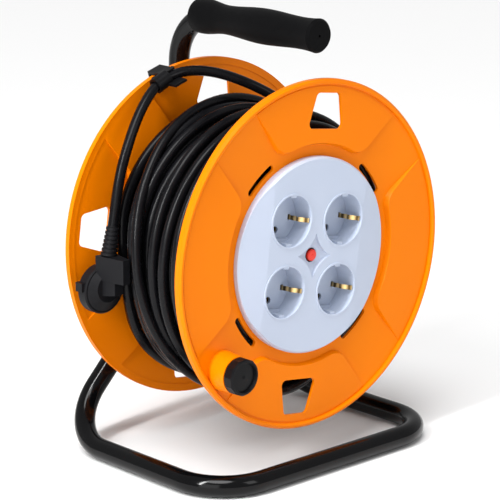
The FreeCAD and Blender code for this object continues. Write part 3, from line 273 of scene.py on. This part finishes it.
# ABS, injection moulded satin: even colour, soft wide highlights, faint flow marks
orangeAbs = newMaterial("orangeAbsMoulded", {
    "colour": "EA7B00", "colourSpots": "E67600", "cloudMm": 60, "rough": (0.30, 0.38),
    "grainMm": 1.2, "reliefMm": 0.03, "bump": 0.10, "ior": 1.52, "shine": 0.08})
# polycarbonate blend, moulded satin: pale blue grey, low sheen
panelBlend = newMaterial("paleBlueGreyMoulded", {
    "colour": "B6C0D2", "colourSpots": "B2BCCF", "cloudMm": 35, "rough": (0.36, 0.44),
    "grainMm": 0.9, "reliefMm": 0.02, "bump": 0.08, "shine": 0.4})
# flexible PVC, extruded: black with a soft sheen and slight scuffs from winding
cordPvc = newMaterial("blackPvcExtruded", {
    "colour": "0A0A0C", "colourSpots": "101013", "cloudMm": 14, "rough": (0.20, 0.30),
    "grainMm": 1.6, "reliefMm": 0.05, "bump": 0.12, "shine": 0.15})
# rubber-like PVC, moulded over the cord's end: black, finely grained
plugPvc = newMaterial("blackPvcMoulded", {
    "colour": "121214", "colourSpots": "17171A", "cloudMm": 9, "rough": (0.42, 0.52),
    "grainMm": 0.7, "reliefMm": 0.04, "bump": 0.25, "shine": 0.12})
# nylon, moulded: black with a satin face, for the knob and the clip
blackNylon = newMaterial("blackNylonMoulded", {
    "colour": "0C0C0E", "colourSpots": "101012", "cloudMm": 12, "rough": (0.28, 0.38),
    "grainMm": 0.8, "reliefMm": 0.03, "bump": 0.15, "shine": 0.12})
# steel tube with stoved black enamel: deep gloss, slight orange peel
blackEnamel = newMaterial("blackEnamelStoved", {
    "colour": "050506", "colourSpots": "070708", "cloudMm": 45, "rough": (0.10, 0.14),
    "grainMm": 2.2, "reliefMm": 0.03, "bump": 0.10, "shine": 0.22})
# nitrile foam, sleeved on: black, fine open skin, no gloss
gripFoam = newMaterial("blackFoamSleeve", {
    "colour": "050506", "colourSpots": "09090A", "cloudMm": 6, "rough": (0.50, 0.62),
    "grainMm": 0.9, "reliefMm": 0.12, "bump": 0.5, "sheen": 0.03, "shine": 0.03})
# red polyacetal, moulded: bright and smooth
redAcetal = newMaterial("redAcetalMoulded", {
    "colour": "E0331F", "colourSpots": "DA2C1C", "cloudMm": 5, "rough": (0.25, 0.32),
    "grainMm": 0.6, "reliefMm": 0.01, "bump": 0.08})
# brass strip, stamped and rolled: warm yellow with a dull skin
brassStrip = newMaterial("brassStripRolled", {
    "colour": "C9A35E", "colourSpots": "B08A4C", "cloudMm": 3.0, "rough": (0.22, 0.36),
    "grainMm": 0.5, "reliefMm": 0.01, "bump": 0.1, "metallic": 1.0})
# brass spring strip, stamped and folded, with painted highlights: bright bands on its crowns and
# painted shade between them
brassSpringPaintedHighlight = newMaterial("brassStripFoldedPaintedHighlight", {
    "colour": "4A3A22", "colourSpots": "EBCB8E", "cloudMm": 2.0, "paintedHighlightBandsMm": 5.6, "rough": (0.24, 0.34),
    "grainMm": 0.5, "reliefMm": 0.01, "bump": 0.1, "metallic": 1.0})
# nickel on brass, turned and plated
nickelPlate = newMaterial("nickelPlated", {
    "colour": "C9C4BA", "colourSpots": "B9B4AA", "cloudMm": 5, "rough": (0.14, 0.24),
    "grainMm": 0.6, "reliefMm": 0.005, "bump": 0.05, "metallic": 1.0})
# zinc on steel, turned: cool grey with fine tool marks
zincSteel = newMaterial("zincPlatedSteel", {
    "colour": "B4B8BD", "colourSpots": "9FA3A9", "cloudMm": 4, "rough": (0.26, 0.38),
    "grainMm": 0.4, "reliefMm": 0.01, "bump": 0.15, "metallic": 1.0})
# urea resin block and thin PVC on the inner cores
ureaBlock = newMaterial("creamUreaMoulded", {
    "colour": "E4E0D2", "colourSpots": "DAD5C6", "cloudMm": 8, "rough": (0.35, 0.45),
    "grainMm": 0.8, "reliefMm": 0.02})
brownCore = newMaterial("brownPvcExtruded", {
    "colour": "6B3A1E", "colourSpots": "643518", "cloudMm": 6, "rough": (0.35, 0.45),
    "grainMm": 0.8, "reliefMm": 0.02})
blueCore = newMaterial("bluePvcExtruded", {
    "colour": "2A5FB4", "colourSpots": "2456A8", "cloudMm": 6, "rough": (0.35, 0.45),
    "grainMm": 0.8, "reliefMm": 0.02})
greenCore = newMaterial("greenYellowPvcExtruded", {
    "colour": "8FBF2A", "colourSpots": "D9C92B", "cloudMm": 6, "rough": (0.35, 0.45),
    "grainMm": 0.8, "reliefMm": 0.02})
print("materials made:", len(bpy.data.materials))

slotMaterials = {
    "orange_plastic": orangeAbs, "panel_plastic": panelBlend, "black_plastic": blackNylon,
    "red_plastic": redAcetal, "cord_jacket": cordPvc, "tube_enamel": blackEnamel,
    "grip_rubber": gripFoam, "brass": brassStrip, "nickel": nickelPlate, "zinc_steel": zincSteel,
    "terminal_plastic": ureaBlock, "live_insulation": brownCore, "neutral_insulation": blueCore,
    "earth_insulation": greenCore,
}
for row in frame["record"]["subparts"]:
    node = nodes[row["node"]]
    node.data.materials.clear()
    node.data.materials.append(slotMaterials[row["material_slot"]])


standIn("frameTube", ["frame_tube"], "stand", blackEnamel, sharp=35)
standIn("handleGrip", ["handle_grip"], "stand", gripFoam, sharp=40, bevelMm=1.2,
        bevelSegments=3)
standIn("frontFlange", ["front_flange"], "drum", orangeAbs, sharp=28, bevelMm=0.5)
standIn("rearFlange", ["rear_flange"], "drum", orangeAbs, sharp=28, bevelMm=0.5)
standIn("socketPanel", ["socket_panel"], "drum", panelBlend, sharp=28, bevelMm=0.25)
standIn("windingKnob", ["winding_knob"], "knob", blackNylon, sharp=24, bevelMm=0.5)
standIn("resetButton", ["reset_button"], "button", redAcetal, sharp=30, bevelMm=0.15)
standIn("cordClip", ["cord_clip"], "drum", blackNylon, sharp=30, bevelMm=0.4)
plugBody = standIn("plugBody", ["plug_body"], "drum", plugPvc, bevelMm=0.8)
relief = standIn("strainRelief", ["strain_relief"], "drum", plugPvc, bevelMm=0.15)
prongs = standIn("plugProngs", ["plug_prongs"], "drum", nickelPlate, sharp=30, bevelMm=0.5)
strips = standIn("plugEarthStrips", ["plug_earth_strips"], "drum", brassStrip, sharp=30)
for index in range(1, 5):
    name = "earth_clip_%d" % index
    standIn("earthClip%d" % index, [name], "drum", brassSpringPaintedHighlight, sharp=12, bevelMm=0.08,
            bevelSegments=1)
for name, node, body in (("axleBolt", "axle_bolt", "stand"),
                         ("axleJournal", "axle_journal", "stand"),
                         ("saddleWasher", "saddle_washer", "stand"),
                         ("drumScrews", "drum_screws", "drum")):
    standIn(name, [node], body, zincSteel, sharp=30, bevelMm=0.2)
print("stand-ins made")

flex, flexRoute = cordCurve()
flex.data.materials.append(cordPvc)
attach(flex, "drum")
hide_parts("cord_coil", "cord_lead")
print("cord laid:", len(flexRoute), "route points")


floorMaterial = bpy.data.materials.new("paleFloorPaint")
floorMaterial.use_nodes = True
floorSurface = floorMaterial.node_tree.nodes["Principled BSDF"]
floorSurface.inputs["Base Color"].default_value = linear("F2F2F2")
floorSurface.inputs["Roughness"].default_value = 0.9
floorMesh = bpy.data.meshes.new("floor")
side = 6.0  # metres from the middle to each edge
floorCorners = [(-side, -side, 0), (side, -side, 0), (side, side, 0), (-side, side, 0)]
floorMesh.from_pydata(floorCorners, [], [(0, 1, 2, 3)])
floor = bpy.data.objects.new("floor", floorMesh)
bpy.context.scene.collection.objects.link(floor)
floor.location.z = -0.5 * mm  # just under the tube
floorMesh.materials.append(floorMaterial)

world = bpy.data.worlds.new("studioWorld")
bpy.context.scene.world = world
world.use_nodes = True
backdrop = world.node_tree.nodes["Background"]
backdrop.inputs["Color"].default_value = (1.0, 1.0, 1.0, 1.0)
backdrop.inputs["Strength"].default_value = 0.42

softBoxes = [  # azimuth, elevation and distance of each box, its width and height, its power
    {"name": "keyStrip", "at": (-82, 34, 1.5), "size": (0.12, 1.0), "power": 20},
    {"name": "sideBox", "at": (-66, 12, 1.9), "size": (1.1, 1.1), "power": 7},
    {"name": "fillBox", "at": (8, 28, 1.7), "size": (0.5, 0.8), "power": 3.5},
]
for box in softBoxes:
    turn, rise, away = math.radians(box["at"][0]), math.radians(box["at"][1]), box["at"][2]
    towards = np.array([math.sin(turn) * math.cos(rise), -math.cos(turn) * math.cos(rise),
                        math.sin(rise)])
    light = bpy.data.lights.new(box["name"], "AREA")
    light.shape = "RECTANGLE"
    light.size, light.size_y = box["size"]
    light.energy = box["power"]
    lamp = bpy.data.objects.new(box["name"], light)
    lamp.location = axle + towards * away
    lamp.rotation_euler = (math.pi / 2 - rise, 0.0, turn)
    bpy.context.scene.collection.objects.link(lamp)
ceiling = {"energy": 2.1, "spread": 32, "tilt": 24, "turn": -55}  # degrees
sunData = bpy.data.lights.new("ceilingLight", "SUN")
sunData.energy = ceiling["energy"]
sunData.angle = math.radians(ceiling["spread"])
sun = bpy.data.objects.new("ceilingLight", sunData)
sun.rotation_euler = (math.radians(ceiling["tilt"]), 0.0, math.radians(ceiling["turn"]))
bpy.context.scene.collection.objects.link(sun)
bpy.context.scene.view_settings.view_transform = "Standard"
print("studio set")
